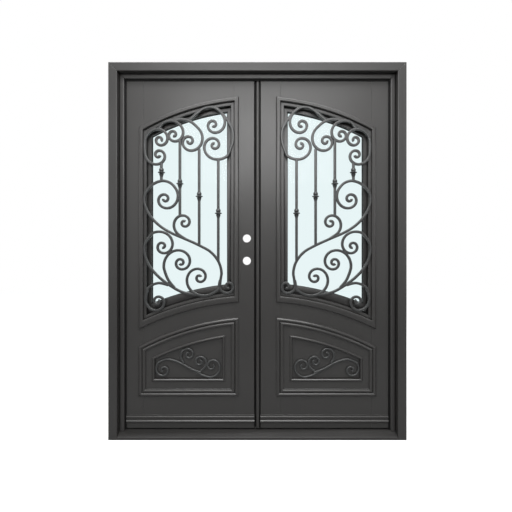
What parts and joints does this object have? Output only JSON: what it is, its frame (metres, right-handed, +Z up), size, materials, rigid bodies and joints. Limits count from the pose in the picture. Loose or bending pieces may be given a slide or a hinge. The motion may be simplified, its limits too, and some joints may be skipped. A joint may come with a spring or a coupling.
{
  "type": "double wrought iron entry door",
  "caption": "Double wrought iron entry door in its steel frame, with arched scroll grilles over clear glass.",
  "frame": {"origin": "middle of the sill's underside, at half the depth of the frame", "axes": "+Z up, -Y towards the outside face that the picture shows, +X towards the right jamb seen from outside"},
  "size_m": [1.925, 0.138, 2.438],
  "materials": {
    "powder_coat": "satin charcoal powder coat",
    "scroll_work": "hammered iron bar, satin charcoal powder coat",
    "hinge_steel": "satin charcoal powder coat over turned steel barrels",
    "sill": "satin charcoal powder coat, lightly worn",
    "glass": "clear insulated glass with a faint aqua tint",
    "rubber": "black weather seal"
  },
  "bodies": {
    "frame": {"jamb_right": "powder_coat", "jamb_left": "powder_coat", "head": "powder_coat", "sill": "sill", "stop_right": "powder_coat", "stop_left": "powder_coat", "stop_head": "powder_coat", "frame_seal": "rubber", "hinge_posts": "hinge_steel"},
    "left_leaf": {"left_lock_stile": "powder_coat", "left_hinge_stile": "powder_coat", "left_top_rail": "powder_coat", "left_middle_rail": "powder_coat", "left_bottom_rail": "powder_coat", "left_window_trim": "powder_coat", "left_sash_stop": "powder_coat", "left_sash": "powder_coat", "left_glass": "glass", "left_window_grille": "scroll_work", "left_panel": "powder_coat", "left_panel_moulding": "powder_coat", "left_back_moulding": "powder_coat", "left_panel_bead": "powder_coat", "left_panel_scroll": "scroll_work", "left_kick_moulding": "powder_coat", "left_foot_sweep": "rubber", "left_hinge_knuckles": "hinge_steel"},
    "right_leaf": {"right_lock_stile": "powder_coat", "right_hinge_stile": "powder_coat", "right_top_rail": "powder_coat", "right_middle_rail": "powder_coat", "right_bottom_rail": "powder_coat", "right_window_trim": "powder_coat", "right_sash_stop": "powder_coat", "right_sash": "powder_coat", "right_glass": "glass", "right_window_grille": "scroll_work", "right_panel": "powder_coat", "right_panel_moulding": "powder_coat", "right_back_moulding": "powder_coat", "right_panel_bead": "powder_coat", "right_panel_scroll": "scroll_work", "right_kick_moulding": "powder_coat", "right_foot_sweep": "rubber", "right_hinge_knuckles": "hinge_steel", "astragal": "powder_coat", "astragal_seal": "rubber"}
  },
  "joints": [
    {"name": "left_leaf_swing", "type": "hinge", "parent": "frame", "child": "left_leaf", "pos_m": [-0.8825, 0.07, 0], "axis": [0, 0, 1], "range_deg": [0, 110]},
    {"name": "right_leaf_swing", "type": "hinge", "parent": "frame", "child": "right_leaf", "pos_m": [0.8825, 0.07, 0], "axis": [0, 0, -1], "range_deg": [0, 110]}
  ]
}
